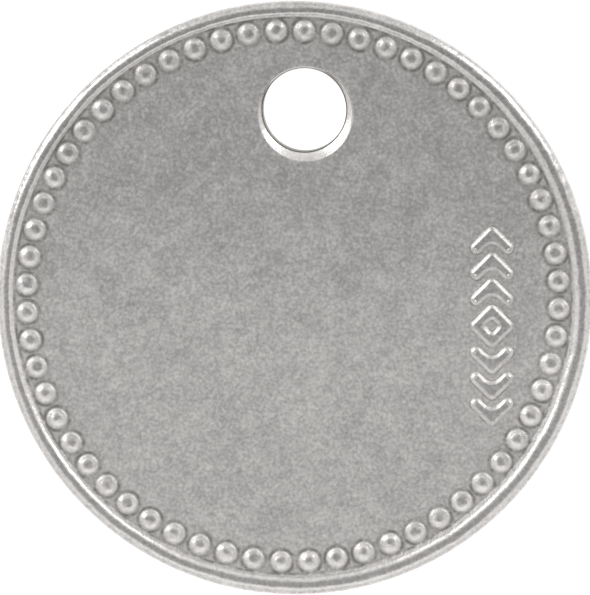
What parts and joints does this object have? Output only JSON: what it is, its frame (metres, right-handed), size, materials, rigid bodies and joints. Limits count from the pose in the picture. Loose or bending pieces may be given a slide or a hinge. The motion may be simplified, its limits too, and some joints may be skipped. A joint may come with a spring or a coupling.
{
  "type": "transit token",
  "caption": "Round struck metal token with a raised rim, a beaded border on both faces, a punched hanging hole near the edge and a small stroke ornament.",
  "frame": {"origin": "on the surface that the token lies on, under the disc's centre", "axes": "+Z out of the front face, which carries the ornament; +Y from the disc's centre towards the hanging hole"},
  "size_m": [0.03, 0.03, 0.002],
  "materials": {
    "struck_metal": "satin"
  },
  "bodies": {
    "root": {"token": "struck_metal"}
  },
  "joints": []
}
